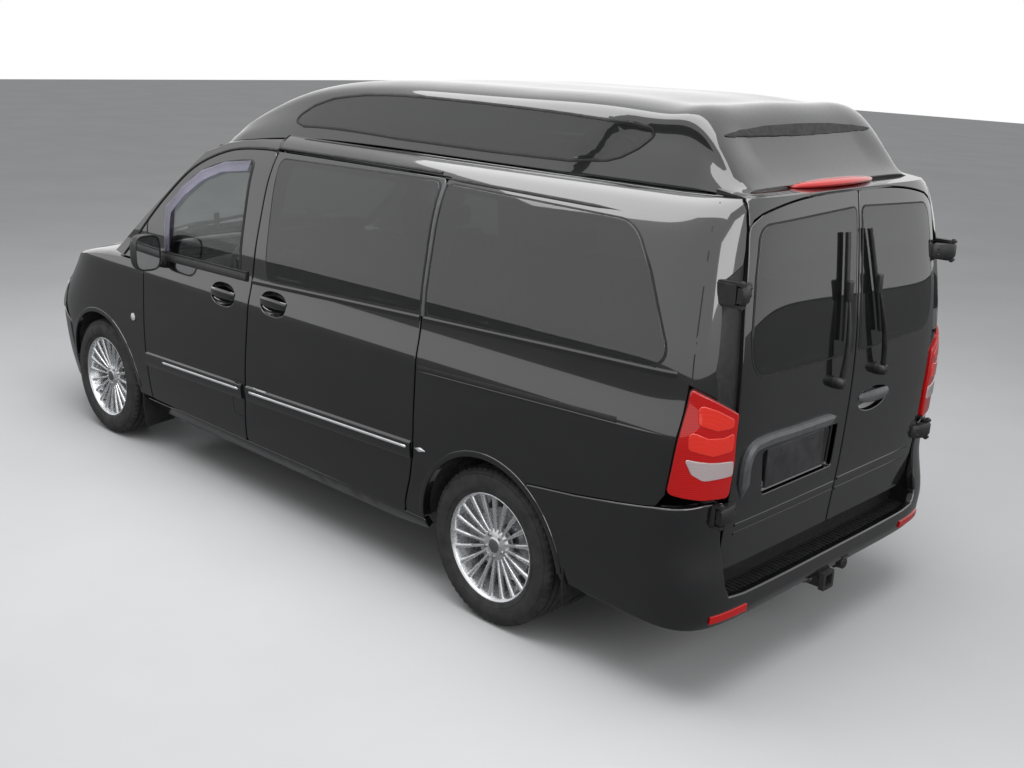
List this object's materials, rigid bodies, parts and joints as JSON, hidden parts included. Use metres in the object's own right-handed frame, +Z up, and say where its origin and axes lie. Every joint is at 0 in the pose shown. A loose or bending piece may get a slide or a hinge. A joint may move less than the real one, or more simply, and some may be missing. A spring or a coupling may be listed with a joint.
{
  "type": "compact van with a raised roof",
  "caption": "Black compact passenger van with a raised fibreglass roof, hinged rear doors, sliding side doors, alloy wheels and a square tow hitch.",
  "frame": {"origin": "on the ground below the middle of the van", "axes": "+X forward, +Y to the left, +Z up"},
  "size_m": [5.1396, 2.244, 2.185],
  "materials": {
    "body_paint": "gloss black paint",
    "dark_glass": "dark tinted glass",
    "clear_glass": "lightly tinted glass",
    "tyre": "matt black",
    "alloy": "silver lacquer",
    "black_plastic": "grained black",
    "red_lens": "red lens",
    "clear_lens": "clear lens",
    "chassis": "satin black",
    "steel": "bare steel",
    "cast": "cast",
    "seat_fabric": "dark cloth"
  },
  "bodies": {
    "van": {"floor_pan": "chassis", "body_sides": "body_paint", "raised_roof": "body_paint", "front_shell": "body_paint", "front_fenders": "body_paint", "front_bumper": "body_paint", "grille": "black_plastic", "rear_bumper": "body_paint", "sliding_doors": "body_paint", "windscreen": "clear_glass", "side_glass": "dark_glass", "headlamps": "clear_lens", "tail_lamps": "red_lens", "dashboard": "black_plastic", "seats": "seat_fabric", "engine": "cast", "exhaust": "steel", "fuel_tank": "black_plastic", "front_subframe": "chassis", "rear_axle": "chassis", "mud_flaps": "black_plastic", "tow_hitch": "chassis", "front_wipers": "black_plastic"},
    "front_door_left": {"front_door_left": "body_paint", "front_glass_left": "clear_glass", "mirror_left": "body_paint"},
    "front_door_right": {"front_door_right": "body_paint", "front_glass_right": "clear_glass", "mirror_right": "body_paint"},
    "rear_door_left": {"rear_door_left": "body_paint", "rear_glass_left": "dark_glass", "rear_wiper_left": "black_plastic"},
    "rear_door_right": {"rear_door_right": "body_paint", "rear_glass_right": "dark_glass", "rear_wiper_right": "black_plastic"},
    "bonnet": {"bonnet": "body_paint"},
    "knuckle_left": {"knuckle_left": "cast"},
    "knuckle_right": {"knuckle_right": "cast"},
    "wheel_front_left": {"rim_front_left": "alloy", "tyre_front_left": "tyre"},
    "wheel_front_right": {"rim_front_right": "alloy", "tyre_front_right": "tyre"},
    "wheel_rear_left": {"rim_rear_left": "alloy", "tyre_rear_left": "tyre"},
    "wheel_rear_right": {"rim_rear_right": "alloy", "tyre_rear_right": "tyre"},
    "steering_wheel": {"steering_wheel": "black_plastic"}
  },
  "joints": [
    {"name": "front_door_left_hinge", "type": "hinge", "parent": "van", "child": "front_door_left", "pos_m": [1.082, 0.938, 0.795], "axis": [0, 0, -1], "range_deg": [0, 65]},
    {"name": "front_door_right_hinge", "type": "hinge", "parent": "van", "child": "front_door_right", "pos_m": [1.082, -0.938, 0.795], "axis": [0, 0, 1], "range_deg": [0, 65]},
    {"name": "rear_door_left_hinge", "type": "hinge", "parent": "van", "child": "rear_door_left", "pos_m": [-2.5374, 0.792, 1.16], "axis": [0, 0, -1], "range_deg": [0, 180]},
    {"name": "rear_door_right_hinge", "type": "hinge", "parent": "van", "child": "rear_door_right", "pos_m": [-2.5374, -0.792, 1.16], "axis": [0, 0, 1], "range_deg": [0, 180]},
    {"name": "bonnet_hinge", "type": "hinge", "parent": "van", "child": "bonnet", "pos_m": [1.667, 0, 1.124], "axis": [0, -1, 0], "range_deg": [0, 45]},
    {"name": "steer_left", "type": "hinge", "parent": "van", "child": "knuckle_left", "pos_m": [1.675, 0.77, 0.34], "axis": [0, 0, 1], "range_deg": [-35, 35]},
    {"name": "steer_right", "type": "hinge", "parent": "van", "child": "knuckle_right", "pos_m": [1.675, -0.77, 0.34], "axis": [0, 0, 1], "range_deg": [-35, 35]},
    {"name": "steering_column", "type": "hinge", "parent": "van", "child": "steering_wheel", "pos_m": [0.8, 0.4, 1.06], "axis": [-0.766, 0, 0.6428], "range_deg": [-490, 490]},
    {"name": "wheel_front_left_spin", "type": "hinge", "parent": "knuckle_left", "child": "wheel_front_left", "pos_m": [1.675, 0.833, 0.34], "axis": [0, 1, 0], "continuous": true},
    {"name": "wheel_front_right_spin", "type": "hinge", "parent": "knuckle_right", "child": "wheel_front_right", "pos_m": [1.675, -0.833, 0.34], "axis": [0, 1, 0], "continuous": true},
    {"name": "wheel_rear_left_spin", "type": "hinge", "parent": "van", "child": "wheel_rear_left", "pos_m": [-1.525, 0.823, 0.34], "axis": [0, 1, 0], "continuous": true},
    {"name": "wheel_rear_right_spin", "type": "hinge", "parent": "van", "child": "wheel_rear_right", "pos_m": [-1.525, -0.823, 0.34], "axis": [0, 1, 0], "continuous": true}
  ],
  "couplings": [
    {"joint": "steer_right", "follows": "steer_left", "ratio": 1},
    {"joint": "steering_column", "follows": "steer_left", "ratio": 14}
  ]
}
